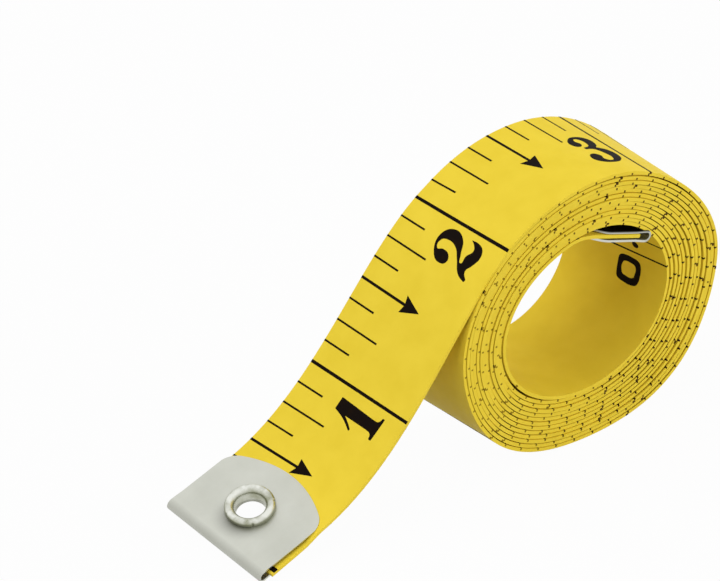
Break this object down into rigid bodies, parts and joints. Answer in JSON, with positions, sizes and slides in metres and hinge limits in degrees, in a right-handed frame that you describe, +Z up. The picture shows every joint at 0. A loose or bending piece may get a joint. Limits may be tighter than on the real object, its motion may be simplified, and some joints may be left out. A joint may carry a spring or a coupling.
{
  "type": "cloth tape measure",
  "caption": "Soft cloth tape measure wound into an oval roll on its rim; the free end runs down to a folded metal tip with an eyelet, and a second tip closes the inner end.",
  "frame": {"origin": "middle of the flat foot that the roll stands on, at table height", "axes": "+Z up, +Y along the roll's axis towards the edge that carries the tick marks, -X towards the front tip"},
  "size_m": [0.0791, 0.0192, 0.0391],
  "materials": {
    "tape": "satin yellow vinyl coating over glass-fibre cloth, printed in black",
    "tip_steel": "satin nickel-plated thin steel sheet",
    "eyelet_plate": "bright nickel-plated rolled eyelet"
  },
  "bodies": {
    "roll": {"tape_coil": "tape"},
    "leader": {"tape_leader": "tape"},
    "tip_end": {"front_tip": "tip_steel", "eyelet": "eyelet_plate", "tape_start": "tape"},
    "tail_end": {"tape_tail": "tape", "rear_tip": "tip_steel"}
  },
  "joints": [
    {"name": "leader_lift", "type": "hinge", "parent": "roll", "child": "leader", "pos_m": [-0.01205, 0, 0.03593], "axis": [0, 1, 0], "range_deg": [0, 90]},
    {"name": "tip_flex", "type": "hinge", "parent": "leader", "child": "tip_end", "pos_m": [-0.04154, 0.00043, 0.00537], "axis": [-0.1218, 0.9821, 0.1434], "range_deg": [-40, 90]},
    {"name": "tail_flex", "type": "hinge", "parent": "roll", "child": "tail_end", "pos_m": [-0.00738, 0, 0.02902], "axis": [0, 1, 0], "range_deg": [0, 35], "stiffness_Nm_per_rad": 0.002, "springref_deg": -17.19}
  ]
}
